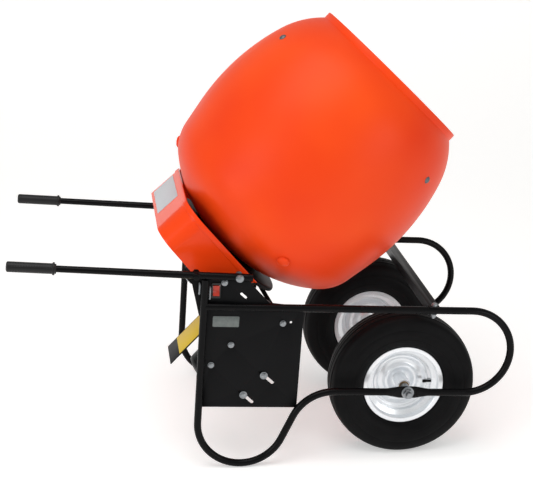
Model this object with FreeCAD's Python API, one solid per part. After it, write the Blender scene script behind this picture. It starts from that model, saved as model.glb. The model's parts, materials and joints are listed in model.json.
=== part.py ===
"""Wheelbarrow-style concrete mixer: a moulded drum on a tilted spindle, driven by a gear motor and a
V-belt, carried by two bent-tube side frames on two pneumatic wheels. Millimetres.

Working axes: X forward (from the handles to the wheels), Y to the operator's left, Z up, origin at the
middle of the axle, with the frame's long tubes level. At the end everything is pitched so that the feet
and the tyres stand on one floor, and moved so that the origin is below the middle of the whole machine.
"""

import FreeCAD
import Part
import math
import os

V = FreeCAD.Vector

# ---- side frames: one length of bent tube on each side, from the handle down and round to the back ----
tube_r = 10.0
tube_wall = 2.0
frame_half = 309.0          # lateral distance of each loop's centreline
rail_rise = 238.6           # height of the top tube above the axle tube; the front loop is its half circle
bend_r = rail_rise / 2
rear_x = -568.0             # rear upright
front_x = 156.4             # centre of the front loop
foot_z = -94.0              # centre of the foot bend
weld_gap = 0.3              # between an upright's top and its handle
riser_x = -200.5            # where the axle tube starts to drop towards the foot
flat_half = 22.0            # flattened stretch of the axle tube, where the axle bolts through
flat_run = 58.0             # where the flattening has died away
flat_high = 17.0            # half height of the flattened tube
flat_thick = 4.5            # half thickness of the flattened tube

# ---- side plates ----
plate_t = 4.0
plate_y = frame_half - tube_r       # the plates' outer faces bear on the tubes' inner sides
plate_rear = -566.0
plate_bottom = -52.0
plate_front = -301.0
left_bottom = 192.0
brow_x = -395.0             # where the pedestal's sloping front edge leaves the top tube
brow_z = 248.0
crown_x = -448.0            # where that slope ends under the handle
crown_z = 302.0
leg_top_x = -609.0          # rear edge of the pedestal, at the handle
leg_low_x = -580.0          # rear edge of the pedestal, at the upright
leg_low_z = 212.0
spare_hole = (-333.5, 194.0)
spare_hole_r = 3.4
plate_bolts_at = ((-355.0, 191.0), (-540.0, 70.0), (-516.5, 302.0))
hole_gap = 0.25             # a bolt or bar in its hole, on the radius

# ---- handles and grips ----
handle_r = 10.2
handle_tip_r = 8.6
handle_wall = 1.8
handle_front_x = -445.0
handle_rear_x = -1072.0
handle_z = 324.0            # height of the handle's centreline over the rear upright
handle_slope = math.radians(1.6)
grip_len = 122.0
grip_wall = 5.2
grip_cap = 4.0
handle_bolt_x = (-480.0, -592.0)

# ---- axle and wheels ----
axle_r = 8.0
axle_proud = 27.0           # the axle's end stands this far beyond the frame's centreline
axle_end = frame_half + axle_proud
spacer_r = 11.5
hub_r = 19.0
hub_half = 46.0
bush_len = 24.0
bush_r = 13.5
run_gap = 0.05              # running clearance of a shaft in its bush, on the radius
side_gap = 0.4              # end play beside a turning part
wheel_y = 222.6
tyre_r = 203.2
tyre_half = 57.0
tyre_wall = 7.5
rim_half = 40.0
rim_flange_r = 111.0
rim_seat_r = 102.0
rim_well_r = 88.0
rim_sheet = 2.5
rim_flange_t = 4.0
disc_in = 10.0              # wheel disc, inboard of the wheel's middle at the hub
disc_out = 2.0              # and outboard of it at its rim

# ---- drum: s runs along its axis towards the mouth, n square to the axis and up ----
drum_x = -259.0
drum_z = 575.0
drum_tilt = math.radians(49.2)
belly_s = 1.6
belly_r = 336.7
belly_arc_r = 624.0         # long curve over the widest place
belly_rear = math.radians(9.7)
belly_front = math.radians(17.9)
mouth_arc_r = 243.0         # tighter curve that closes towards the mouth
mouth_turn = math.radians(29.3)
flank_len = 71.5            # straight cone behind the belly
shoulder_arc_r = 131.0
shoulder_turn = math.radians(39.1)
dish_arc_r = 380.0          # shallow dish of the base
dish_turn = math.radians(30.9)
drum_wall = 6.0
lip_len = 19.0
lip_wall = 8.0

# ---- paddles ----
paddle_count = 3
paddle_low_s = -231.0
paddle_high_s = 180.0
paddle_low_at = math.radians(-18.0)     # round the axis, from the top of the drum towards its right
paddle_high_at = math.radians(11.0)
paddle_deep = 78.0
paddle_t = 6.0
paddle_stand = 5.0          # between a paddle's edge and the drum's wall

# ---- support pan, spindle and drive ----
spindle_r = 15.0
flange_r = 68.0
flange_t = 8.0
pan_sheet = 3.5
pan_r = 184.0
pan_skirt = 14.0
pan_bend = 8.0
pan_bolt_count = 6
pan_bolt_circle = 52.0
pulley_r = 150.0
pulley_half = 12.0
pulley_gap = 3.0            # from the pan's skirt to the pulley
pulley_hub_r = 32.0
motor_pulley_r = 36.0
belt_half = 6.5             # half width of the belt's back
belt_base = 4.0             # half width of its inner side
belt_deep = 8.0
belt_sink = 1.5             # how far the belt's back stands inside the pulley's rim
groove_gap = 0.4
carrier_s = -446.0
carrier_t = 8.0
carrier_top = 12.0          # the carrier's reach along n, above and below the spindle
carrier_low = -74.0
carrier_fold = 26.0
carrier_fold_t = 5.0
carrier_fold_in = 12.0      # the fold stops this far short of the side plates
housing_r = 36.0
housing_front = 36.0        # how far the housing stands ahead of the carrier
housing_rear = 20.0
housing_flange_r = 58.0
housing_flange_t = 9.0
housing_bolt_circle = 47.0
housing_bolt_turns = (92.0, 180.0, 268.0)       # degrees round the spindle, from its top
bearing_r = 26.0
bearing_len = 14.0

# ---- gear motor, beside the drum's axis and parallel to it ----
motor_y = -205.0
motor_n = -165.0
motor_r = 68.0
motor_shell_t = 3.0
motor_front_s = -470.0
motor_rear_s = -606.0
cover_len = 18.0
gear_len = 36.0
gear_r = 60.0
shaft_r = 8.0
shaft_bush_r = 12.0
foot_t = 5.0
foot_rise = 29.0            # the foot plate's top edge above the motor's axis
motor_bolts_at = ((-494.0, -245.0), (-571.0, -243.0))
slot_len = 56.0
slot_w = 9.0
slot_ahead = 9.0            # each slot's middle lies this much lower than its bolt
bolt_m5 = 2.5
bolt_m8 = 4.0
bolt_m10 = 5.0

# ---- hood over the belt drive: a U-shaped moulding, raked at its front and back ----
hood_front_s = -313.2       # at hood_ref_n
hood_front_rake = 0.10      # how far the front leans forward for each millimetre of rise
hood_back_s = -424.0
hood_back_rake = 0.12
hood_ref_n = 100.0
hood_front_top = 208.0
hood_back_top = 215.0
hood_front_half = 225.0
hood_back_half = 227.0
hood_front_corner = 70.0
hood_back_corner = 62.0
hood_wall = 3.5
hood_bottom_z = 278.0
hood_lip = 14.0
hood_lip_proud = 3.0
hood_boss_r = 12.0
hood_boss_y = 130.0
hood_boss_n = -6.0
label_len = 76.0
label_half = 107.0
label_y = 50.0              # the label's middle stands to the left
label_ahead = 10.0          # from the hood's lip to the label
label_t = 0.6

# ---- guard over the motor ----
guard_n = -38.0
guard_rear_s = -636.0
guard_front_s = -462.0
guard_width = 120.0
guard_sheet = 2.0
guard_bolt = (-489.0, -117.0)
guard_flange_low = 13.0     # the flange's reach below its bolt
guard_flange_half = 20.0
guard_label_len = 100.0
guard_label_in = 36.0       # from the guard's rear edge to its label
guard_label_edge = 5.0

# ---- name plate on the right side plate ----
name_x = -542.0
name_z = 179.0
name_w = 70.0
name_h = 30.0
name_t = 1.0

# ---- cross brace ----
brace_x = 49.0
brace_w = 26.0
brace_t = 3.0
brace_lip = 22.0

# ---- switch ----
switch_x = -538.0
switch_z = 281.0
switch_w = 24.0
switch_h = 42.0
switch_deep = 26.0
bezel_t = 4.0
rocker_w = 17.0
rocker_h = 27.0
rocker_t = 9.0
rocker_tilt = 8.0           # degrees, at rest in its off position
lead_r = 2.4
lead_out = 9.0              # how far the wires stand out from the plate
lead_gap = 1.5              # between a wire and the upright
lead_top = 300.0
lead_low = 272.0
lead_bend = 5.0


# ---------------------------------------------------------------- shapes used by many pieces
def ring(r_out, r_in, length, base=0.0):
    """Tube along Z from base."""
    body = Part.makeCylinder(r_out, length, V(0, 0, base))
    if r_in > 0:
        body = body.cut(Part.makeCylinder(r_in, length + 2, V(0, 0, base - 1)))
    return body


def turned(points):
    """Solid of revolution about Z from a closed outline of (z, r) points."""
    wire = Part.makePolygon([V(r, 0, z) for z, r in points + points[:1]])
    return Part.Face(wire).revolve(V(0, 0, 0), V(0, 0, 1), 360)


def hexagon(across_flats, height, base=0.0):
    """Hexagonal bolt head or nut along Z, with its top corners turned off."""
    corner = across_flats / math.sqrt(3)
    corners = [V(corner * math.cos(k * math.pi / 3), corner * math.sin(k * math.pi / 3), base)
               for k in range(7)]
    head = Part.Face(Part.makePolygon(corners)).extrude(V(0, 0, height))
    return head.common(turned([(base, 0), (base, corner), (base + height * 0.8, corner),
                               (base + height, across_flats * 0.48), (base + height, 0)]))


def bolt(shank_r, grip, washer_r=0.0):
    """Bolt and nut along Z: its head sits on z = 0, its nut under z = -grip."""
    flats = shank_r * 3.3
    head_h = shank_r * 1.3
    nut_h = shank_r * 1.6
    washer_t = 1.6 if washer_r else 0.0
    length = grip + 2 * washer_t + nut_h + shank_r
    body = Part.makeCylinder(shank_r, length, V(0, 0, washer_t - length))
    body = body.fuse(hexagon(flats, head_h, washer_t))
    body = body.fuse(hexagon(flats, nut_h, -grip - washer_t - nut_h))
    if washer_r:
        body = body.fuse(Part.makeCylinder(washer_r, washer_t))
        body = body.fuse(Part.makeCylinder(washer_r, washer_t, V(0, 0, -grip - washer_t)))
    return body


def extruded_y(points, y0, y1):
    """Flat plate of the outline (x, z), from y0 to y1."""
    wire = Part.makePolygon([V(x, y0, z) for x, z in points + points[:1]])
    return Part.Face(wire).extrude(V(0, y1 - y0, 0))


def along_y(shape, x, y, z, side=-1):
    """Turns a shape built on +Z to point along -Y (side -1) or +Y (side 1), and moves it."""
    out = shape.copy()
    out.rotate(V(0, 0, 0), V(1, 0, 0), -90 * side)
    out.translate(V(x, y, z))
    return out


def on_drum_axis(shape):
    """Puts a shape with X for n, -Y for y and Z for s on the drum's axis."""
    c = math.cos(drum_tilt)
    s = math.sin(drum_tilt)
    m = FreeCAD.Matrix(-s, 0, c, drum_x, 0, -1, 0, 0, c, 0, s, drum_z, 0, 0, 0, 1)
    out = shape.copy()
    out.transformShape(m)
    return out


def axis_point(s, n, y=0.0):
    """The working-axes point at s along the drum's axis and n square to it."""
    return V(drum_x + s * math.cos(drum_tilt) - n * math.sin(drum_tilt), y,
             drum_z + s * math.sin(drum_tilt) + n * math.cos(drum_tilt))


def motor_axis(shape):
    """Puts a shape built about Z, with Z for s, on the motor's axis."""
    out = shape.copy()
    out.translate(V(motor_n, -motor_y, 0))
    return on_drum_axis(out)


def swept(edges, r_out, r_in=0.0):
    """Round tube along a path of tangent edges."""
    path = Part.Wire(edges)
    start = path.Edges[0].valueAt(path.Edges[0].FirstParameter)
    heading = path.Edges[0].tangentAt(path.Edges[0].FirstParameter)

    def along(radius):
        return path.makePipeShell([Part.Wire(Part.makeCircle(radius, start, heading))], True, True)

    return along(r_out).cut(along(r_in)) if r_in > 0 else along(r_out)


def rounded_path(points, radius):
    """Straight runs joined by tangent arcs of one radius at the inner points."""
    edges = []
    last = points[0]
    for before, corner, after in zip(points, points[1:], points[2:]):
        back = (before - corner).normalize()
        ahead = (after - corner).normalize()
        half = math.acos(back.dot(ahead)) / 2
        first = corner + back * (radius / math.tan(half))
        second = corner + ahead * (radius / math.tan(half))
        middle = corner + (back + ahead).normalize() * (radius / math.sin(half) - radius)
        edges += [Part.LineSegment(last, first).toShape(), Part.Arc(first, middle, second).toShape()]
        last = second
    return edges + [Part.LineSegment(last, points[-1]).toShape()]


def both_sides(make):
    """Right-hand and left-hand copies of what make(side) gives."""
    return [make(-1), make(1)]


# ---------------------------------------------------------------- side frames
def frame_runs(y):
    """Centrelines of one side frame: upright, foot and axle run behind the axle; front loop ahead of it."""
    def arc(cx, cz, a0, a1):
        ends = [V(cx + bend_r * math.cos(a), y, cz + bend_r * math.sin(a)) for a in (a0, (a0 + a1) / 2, a1)]
        return Part.Arc(*ends).toShape(), ends[0], ends[2]

    quarter = math.pi / 2
    heel_x = rear_x + bend_r
    span = math.hypot(riser_x - heel_x, -bend_r - foot_z)
    leave = math.atan2(-bend_r - foot_z, riser_x - heel_x) - math.acos(2 * bend_r / span)
    front, f0, f1 = arc(front_x, bend_r, -quarter, quarter)
    foot, g0, g1 = arc(heel_x, foot_z, math.pi, 2 * math.pi + leave)
    knee, k0, k1 = arc(riser_x, -bend_r, math.pi + leave, quarter)
    line = Part.LineSegment
    top = handle_centre_z(rear_x) - handle_r - weld_gap
    behind = [line(V(rear_x, y, top), g0).toShape(), foot, line(g1, k0).toShape(), knee,
              line(k1, V(-flat_run, y, 0)).toShape()]
    ahead = [line(V(flat_run, y, 0), f0).toShape(), front, line(f1, V(rear_x, y, rail_rise)).toShape()]
    return behind, ahead


def flattened_tube(y):
    """The stretch of the axle tube that is pressed flat, with a hole for the axle."""
    def oval(x, half_high, half_thick):
        if half_high == half_thick:
            return Part.Wire(Part.makeCircle(half_high, V(x, y, 0), V(1, 0, 0)))
        edge = Part.Ellipse(V(0, 0, 0), half_high, half_thick).toShape()
        edge.rotate(V(0, 0, 0), V(0, 1, 0), 90)
        edge.translate(V(x, y, 0))
        return Part.Wire(edge)

    pressed = flat_thick * 1.35
    sections = [oval(-flat_run, tube_r, tube_r), oval(-flat_half, flat_high, pressed),
                oval(flat_half, flat_high, pressed), oval(flat_run, tube_r, tube_r)]
    body = Part.makeLoft(sections, True, True)
    for face_y in (y + flat_thick, y - flat_thick - tube_r):
        body = body.cut(Part.makeBox(2 * flat_half, tube_r, 4 * flat_high, V(-flat_half, face_y, -2 * flat_high)))
    return body.cut(along_y(ring(axle_r + hole_gap, 0, 60), 0, y + 30, 0))


def side_frame(side):
    y = side * frame_half
    behind, ahead = frame_runs(y)
    bore = tube_r - tube_wall
    rear = swept(behind, tube_r)
    front = swept(ahead, tube_r).cut(swept(ahead, bore)).cut(rear)
    body = rear.cut(swept(behind, bore)).fuse([front, flattened_tube(y)])
    return body.cut(Part.makeCylinder(bolt_m8 + hole_gap, 60, V(brace_x, y, rail_rise - 30)))


# ---------------------------------------------------------------- side plates and handles
def handle_centre_z(x):
    return handle_z - (x - rear_x) * math.tan(handle_slope)


def handle_radius(x):
    share = (x - handle_rear_x) / (handle_front_x - handle_rear_x)
    return handle_tip_r + share * (handle_r - handle_tip_r)


def slot_along_n(s, n, length, width, y):
    """Round-ended cutter through a side plate, running square to the drum's axis."""
    straight = length - width
    body = Part.makeBox(straight, width, 40, V(n - straight / 2, s - width / 2, -20))
    for end in (-1, 1):
        body = body.fuse(Part.makeCylinder(width / 2, 40, V(n + end * straight / 2, s, -20)))
    turn = FreeCAD.Matrix(1, 0, 0, 0, 0, 0, -1, -y, 0, 1, 0, 0, 0, 0, 0, 1)
    body.transformShape(turn)
    return on_drum_axis(body)


def hole_y(x, z, radius, y):
    return along_y(ring(radius + hole_gap, 0, 80), x, y + 40, z)


def plate_features(side):
    """Handle and plate bolt holes that both plates share."""
    y = side * plate_y
    holes = [hole_y(x, handle_centre_z(x), bolt_m10, y) for x in handle_bolt_x]
    return holes


def side_plate_right():
    outline = [(plate_rear, plate_bottom), (plate_front, plate_bottom), (plate_front, rail_rise),
               (brow_x, brow_z), (crown_x, crown_z), (crown_x + 6, handle_centre_z(crown_x)),
               (leg_top_x, handle_centre_z(leg_top_x)), (leg_low_x, leg_low_z), (plate_rear, leg_low_z - 20)]
    body = extruded_y(outline, -plate_y, -plate_y + plate_t)
    cuts = plate_features(-1)
    cuts += [slot_along_n(s, n - slot_ahead, slot_len, slot_w, -plate_y) for s, n in motor_bolts_at]
    cuts.append(slot_along_n(pulley_mid_s(), -46, 23, 7, -plate_y))
    cuts += [hole_y(x, z, bolt_m8, -plate_y) for x, z in plate_bolts_at]
    guard_at = axis_point(*guard_bolt)
    cuts.append(hole_y(guard_at.x, guard_at.z, bolt_m8, -plate_y))
    cuts.append(hole_y(spare_hole[0], spare_hole[1], spare_hole_r - hole_gap, -plate_y))
    cuts.append(Part.makeBox(switch_w - 4, 20, switch_h - 6,
                             V(switch_x - switch_w / 2 + 2, -plate_y - 8, switch_z - switch_h / 2 + 3)))
    return body.cut(cuts[0].multiFuse(cuts[1:]))


def pedestal_plate_left():
    outline = [(leg_low_x + 4, left_bottom), (brow_x, left_bottom), (brow_x, brow_z), (crown_x, crown_z),
               (crown_x + 6, handle_centre_z(crown_x)), (leg_top_x, handle_centre_z(leg_top_x)),
               (leg_low_x, leg_low_z)]
    body = extruded_y(outline, plate_y - plate_t, plate_y)
    cuts = plate_features(1)
    return body.cut(cuts[0].multiFuse(cuts[1:]))


def handle_cone(grow=0.0, extend=0.0):
    """Tapered bar along +X from the handle's rear end, its radius changed by grow."""
    length = (handle_front_x - handle_rear_x) / math.cos(handle_slope)
    return Part.makeCone(handle_tip_r + grow, handle_r + grow, length + extend, V(0, 0, 0), V(1, 0, 0))


def place_handle(shape, side):
    out = shape.copy()
    out.rotate(V(0, 0, 0), V(0, 1, 0), math.degrees(handle_slope))
    out.translate(V(handle_rear_x, side * (plate_y + handle_r), handle_centre_z(handle_rear_x)))
    return out


def handle(side):
    body = place_handle(handle_cone().cut(handle_cone(-handle_wall)), side)
    for x in handle_bolt_x:
        body = body.cut(hole_y(x, handle_centre_z(x), bolt_m10, side * plate_y))
    return body


def grip(side):
    """Ribbed rubber sleeve with a closed end and a collar."""
    outer = handle_tip_r + grip_wall
    outline = [(-grip_cap, 0), (-grip_cap, outer - 4), (-grip_cap + 3, outer), (grip_len - 10, outer),
               (grip_len - 10, outer + 3), (grip_len - 4, outer + 3), (grip_len - 4, outer - 1),
               (grip_len, outer - 1), (grip_len, 0)]
    sleeve = turned(outline)
    sleeve.rotate(V(0, 0, 0), V(0, 1, 0), 90)
    return place_handle(sleeve.cut(handle_cone(0.0)), side)


def handle_bolts():
    solids = []
    for side in (-1, 1):
        for x in handle_bolt_x:
            outer_y = side * (plate_y + handle_r + handle_radius(x))
            grip_len_through = handle_r + handle_radius(x) + plate_t
            solids.append(along_y(bolt(bolt_m10, grip_len_through, 10.5), x, outer_y, handle_centre_z(x), side))
    return Part.makeCompound(solids)


def plate_bolts():
    solids = [along_y(bolt(bolt_m8, plate_t, 8.5), x, -plate_y, z) for x, z in plate_bolts_at]
    guard_at = axis_point(*guard_bolt)
    solids.append(along_y(bolt(bolt_m8, plate_t + guard_sheet, 8.5), guard_at.x, -plate_y, guard_at.z))
    return Part.makeCompound(solids)


# ---------------------------------------------------------------- cross brace
def cross_brace():
    top = rail_rise + tube_r
    end = frame_half + tube_r
    body = Part.makeBox(brace_w, 2 * end, brace_t, V(brace_x - brace_w / 2, -end, top))
    inner = frame_half - tube_r - 3
    lip = Part.makeBox(brace_t, 2 * inner, brace_lip, V(brace_x - brace_w / 2, -inner, top - brace_lip))
    body = body.fuse(lip).removeSplitter()
    for side in (-1, 1):
        body = body.cut(Part.makeCylinder(bolt_m8 + hole_gap, 30, V(brace_x, side * frame_half, top - 10)))
    return body


def cross_brace_bolts():
    solids = []
    for side in (-1, 1):
        one = bolt(bolt_m8, 2 * tube_r + brace_t, 8.5)
        one.translate(V(brace_x, side * frame_half, rail_rise + tube_r + brace_t))
        solids.append(one)
    return Part.makeCompound(solids)


# ---------------------------------------------------------------- axle and wheels
def axle():
    return along_y(Part.makeCylinder(axle_r, 2 * axle_end), 0, axle_end, 0)


def axle_spacers():
    inner = wheel_y - hub_half - side_gap
    outer0 = wheel_y + hub_half + side_gap
    outer1 = frame_half - flat_thick
    bore = axle_r + hole_gap
    solids = [along_y(ring(spacer_r, bore, 2 * inner), 0, inner, 0)]
    solids += both_sides(lambda side: along_y(ring(spacer_r, bore, outer1 - outer0), 0, side * outer0, 0, side))
    return Part.makeCompound(solids)


def axle_nuts():
    """Washer and nut on each end of the axle, outside the flattened tube."""
    def one(side):
        body = ring(17, axle_r, 2.5).fuse(hexagon(24, 11, 2.5).cut(ring(axle_r, 0, 40, -5)))
        return along_y(body, 0, side * (frame_half + flat_thick), 0, side)
    return Part.makeCompound(both_sides(one))


def tyre_outline(half, bead, outer, crown, cling):
    """Half-section of the tyre's outside or inside: bead, sidewall, shoulder and crown."""
    shoulder = outer - (tyre_r - rim_seat_r) * 0.2
    middle = (tyre_r + rim_seat_r) / 2 - 2
    one_side = [(-bead, rim_seat_r), (-bead, rim_flange_r + cling), (-half * 0.88, rim_flange_r + cling + 9),
                (-half, middle), (-half * 0.93, shoulder), (-half * 0.62, outer - crown)]
    return one_side + [(0, outer)] + [(-z, r) for z, r in one_side[::-1]]


def wheel(side):
    """Tyre, rim, hub, bushes and valve of one wheel, built about Z with +Z outboard."""
    bead = rim_half - rim_flange_t
    outside = tyre_outline(tyre_half, bead, tyre_r, 7.0, 1.0)
    inside = tyre_outline(tyre_half - tyre_wall, bead - tyre_wall, tyre_r - tyre_wall - 3, 6.0, 5.0)
    tyre = turned(outside + inside[::-1])
    t = rim_sheet
    f = rim_flange_t
    well = rim_half * 0.45
    knee = rim_half * 0.6
    rim_outer = [(-rim_half, rim_flange_r), (-rim_half + f, rim_flange_r), (-rim_half + f, rim_seat_r),
                 (-knee, rim_seat_r - 1.5), (-well, rim_well_r), (well, rim_well_r),
                 (knee, rim_seat_r - 1.5), (rim_half - f, rim_seat_r), (rim_half - f, rim_flange_r),
                 (rim_half, rim_flange_r), (rim_half, rim_seat_r - t), (knee - 1, rim_seat_r - t - 1.5),
                 (well - 1, rim_well_r - t), (-well + 1, rim_well_r - t), (-knee + 1, rim_seat_r - t - 1.5),
                 (-rim_half, rim_seat_r - t)]
    rim = turned(rim_outer)
    face = [(disc_out, rim_well_r - t), (disc_out, 68), (disc_out - 8, 62), (disc_out - 8, 50),
            (-disc_in, 42), (-disc_in, hub_r)]
    disc = turned(face + [(z + 3.0, r) for z, r in face[::-1]])
    rim = rim.fuse(disc)
    valve_r = 3.2
    valve_at = rim_well_r - t
    valve_z = disc_out + 9
    rim = rim.cut(Part.makeCylinder(valve_r + 0.1, 30, V(valve_at - 20, 0, valve_z), V(1, 0, 0)))
    valve = Part.makeCylinder(valve_r, 26, V(valve_at - 22, 0, valve_z), V(1, 0, 0))
    valve = valve.fuse(Part.makeCylinder(4.4, 9, V(valve_at - 24, 0, valve_z), V(1, 0, 0)))
    hub = ring(hub_r, bush_r, 2 * hub_half, -hub_half)
    bore = axle_r + run_gap
    flanged = both_sides(lambda end: ring(bush_r, bore, bush_len, end * (hub_half - bush_len / 2) - bush_len / 2))
    name = "right" if side < 0 else "left"
    made = {"tyre": tyre, "rim": rim, "hub": hub, "wheel_bushes": Part.makeCompound(flanged), "valve": valve}
    return {key + "_" + name: along_y(shape, 0, side * wheel_y, 0, side) for key, shape in made.items()}


# ---------------------------------------------------------------- drum
def drum_arcs(inset=0.0):
    """Edges of the drum's section as (z, r) points: base edge, dish, shoulder, flank, belly, mouth curve."""
    def point(s, r):
        return V(r, 0, s)

    def step(start, heading, radius, turn):
        """End of an arc that starts at (s, r) with the heading measured from +r towards +s."""
        end = heading + turn
        ds = radius * (math.cos(heading) - math.cos(end))
        dr = radius * (math.sin(end) - math.sin(heading))
        return (start[0] + ds, start[1] + dr), end

    level = math.pi / 2
    knots = [((belly_s, belly_r - inset), level)]
    back = [(belly_arc_r, belly_rear), (None, flank_len), (shoulder_arc_r, shoulder_turn), (dish_arc_r, dish_turn)]
    edges = []
    place, heading = knots[0]
    for radius, amount in back:
        if radius is None:
            end = (place[0] - amount * math.sin(heading), place[1] - amount * math.cos(heading))
            edges.insert(0, Part.LineSegment(point(*end), point(*place)).toShape())
            place = end
            continue
        middle, _ = step(place, heading, radius - inset, -amount / 2)
        end, after = step(place, heading, radius - inset, -amount)
        edges.insert(0, Part.Arc(point(*end), point(*middle), point(*place)).toShape())
        place, heading = end, after
    base = place
    place, heading = knots[0]
    for radius, amount in ((belly_arc_r, belly_front), (mouth_arc_r, mouth_turn)):
        middle, _ = step(place, heading, radius - inset, amount / 2)
        end, after = step(place, heading, radius - inset, amount)
        edges.append(Part.Arc(point(*place), point(*middle), point(*end)).toShape())
        place, heading = end, after
    return base, edges, place


base_corner, _, neck_corner = drum_arcs()
base_s = base_corner[0]
lip_r = neck_corner[1]
mouth_s = neck_corner[0] + lip_len


def drum_radius(s, inset=0.0):
    """Radius of the drum's section at s."""
    _, edges, _ = drum_arcs(inset)
    wire = Part.Wire(edges)
    level = Part.LineSegment(V(0, 0, s), V(2 * belly_r, 0, s)).toShape()
    return wire.distToShape(level)[1][0][0].x


def drum_shell():
    def closed(inset, floor_s, lip_out):
        base, edges, neck = drum_arcs(inset)
        line = Part.LineSegment
        points = [V(0, 0, floor_s), V(base[1], 0, floor_s)]
        out = [line(points[0], points[1]).toShape()]
        if abs(floor_s - base[0]) > 1e-6:
            out.append(line(points[1], V(base[1], 0, base[0])).toShape())
        out += edges
        top = [V(neck[1], 0, neck[0]), V(lip_out, 0, neck[0]), V(lip_out, 0, mouth_s + (1 if inset else 0)),
               V(0, 0, mouth_s + (1 if inset else 0)), points[0]]
        for a, b in zip(top, top[1:]):
            if a.distanceToPoint(b) > 1e-6:
                out.append(line(a, b).toShape())
        return Part.Face(Part.Wire(out)).revolve(V(0, 0, 0), V(0, 0, 1), 360)

    outer = closed(0.0, base_s, lip_r)
    inner = closed(drum_wall, base_s + drum_wall, lip_r - lip_wall)
    body = outer.cut(inner)
    holes = [Part.makeCylinder(bolt_m8 + hole_gap, 40, V(*at, base_s - 20)) for at in pan_bolt_places()]
    holes += [radial(ring(bolt_m8 + hole_gap, 0, 60, -30), s, at) for s, at in paddle_bolt_places()]
    holes.append(Part.makeCylinder(spindle_r + hole_gap, 40, V(0, 0, base_s - 20)))
    return body.cut(holes[0].multiFuse(holes[1:]))


def pan_bolt_places():
    turn = 2 * math.pi / pan_bolt_count
    return [(pan_bolt_circle * math.cos(k * turn), pan_bolt_circle * math.sin(k * turn))
            for k in range(pan_bolt_count)]


def paddle_bolt_places():
    places = []
    for k in range(paddle_count):
        turn = k * 2 * math.pi / paddle_count
        places += [(paddle_low_s, paddle_low_at + turn), (paddle_high_s, paddle_high_at + turn)]
    return places


def wall_normal(s):
    """Angle of the drum's outward normal from the radial direction, towards the mouth."""
    return math.atan2(-(drum_radius(s + 3) - drum_radius(s - 3)), 6)


def radial(shape, s, at):
    """Puts a shape built on Z on the drum's outer wall, with +Z out along the wall's normal."""
    out = shape.copy()
    out.rotate(V(0, 0, 0), V(0, 1, 0), 90 - math.degrees(wall_normal(s)))
    out.translate(V(drum_radius(s), 0, s))
    out.rotate(V(0, 0, 0), V(0, 0, 1), math.degrees(at))
    return out


def paddle(turn):
    """Skewed blade of even depth that follows the wall, with a boss at each bolt."""
    sections = []
    stations = 7
    for k in range(stations):
        share = k / (stations - 1)
        s = paddle_low_s - 14 + share * (paddle_high_s - paddle_low_s + 28)
        at = paddle_low_at + share * (paddle_high_at - paddle_low_at) + turn
        outer = drum_radius(s, drum_wall) - paddle_stand
        reach = V(math.cos(at), math.sin(at), 0)
        across = V(-math.sin(at), math.cos(at), 0) * (paddle_t / 2)
        rim = reach * outer + V(0, 0, s)
        edge = reach * (outer - paddle_deep) + V(0, 0, s)
        sections.append(Part.makePolygon([rim - across, rim + across, edge + across, edge - across, rim - across]))
    blade = Part.makeLoft(sections, True, True)
    for s, at in ((paddle_low_s, paddle_low_at + turn), (paddle_high_s, paddle_high_at + turn)):
        boss = radial(Part.makeCylinder(12, 23, V(0, 0, -drum_wall - 24)), s, at)
        hole = radial(Part.makeCylinder(bolt_m8 + hole_gap, 40, V(0, 0, -drum_wall - 20)), s, at)
        blade = blade.fuse(boss).cut(hole)
    return blade


def paddle_bolts():
    head = turned([(0, 0), (0, 10), (2.5, 8.5), (5.0, 4), (5.5, 0)])
    screw = head.fuse(Part.makeCylinder(bolt_m8, drum_wall + 18, V(0, 0, -drum_wall - 18)))
    return Part.makeCompound([radial(screw, s, at) for s, at in paddle_bolt_places()])


def drum_caps():
    """Moulded caps that cover the lower paddle screws."""
    cap = turned([(0.6, 0), (0.6, 17), (5, 16.5), (8.5, 12), (9.5, 0)])
    cap = cap.cut(turned([(0.6, 0), (0.6, 11.5), (3.2, 9.5), (6.2, 4.5), (6.6, 0)]))
    return Part.makeCompound([radial(cap, s, at) for s, at in paddle_bolt_places()[::2]])


# ---------------------------------------------------------------- spindle, pan, pulleys and belt
def pulley_mid_s():
    return base_s - pan_skirt - pulley_gap - pulley_half


def support_pan():
    """Pressed pan under the drum: a flat seat, a rolled corner and a skirt."""
    top = base_s
    low = base_s - pan_skirt
    bend = pan_bend
    outer = [(top, 0), (top, pan_r - bend), (top - bend * 0.3, pan_r - bend * 0.3), (top - bend, pan_r),
             (low, pan_r)]
    t = pan_sheet
    inner = [(low, pan_r - t), (top - bend, pan_r - t), (top - bend * 0.3 - t, pan_r - bend * 0.3 - t * 0.6),
             (top - t, pan_r - bend - t), (top - t, 0)]
    body = turned(outer + inner)
    holes = [Part.makeCylinder(bolt_m8 + hole_gap, 60, V(*at, top - 30)) for at in pan_bolt_places()]
    holes.append(Part.makeCylinder(spindle_r + hole_gap, 60, V(0, 0, top - 30)))
    return body.cut(holes[0].multiFuse(holes[1:]))


def pan_bolts():
    grip_through = drum_wall + pan_sheet + flange_t
    solids = []
    for at in pan_bolt_places():
        one = bolt(bolt_m8, grip_through, 8.5)
        one.translate(V(*at, base_s + drum_wall))
        solids.append(one)
    return Part.makeCompound(solids)


spindle_end = carrier_s - carrier_t - housing_rear - 22


def spindle():
    """Flanged shaft with a keyway under the pulley."""
    seat = base_s - pan_sheet
    body = Part.makeCylinder(spindle_r, base_s + drum_wall - spindle_end, V(0, 0, spindle_end))
    body = body.fuse(ring(flange_r, 0, flange_t, seat - flange_t))
    for at in pan_bolt_places():
        body = body.cut(Part.makeCylinder(bolt_m8 + hole_gap, 40, V(*at, seat - 20)))
    key = key_block(0.0)
    return body.cut(key)


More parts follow.
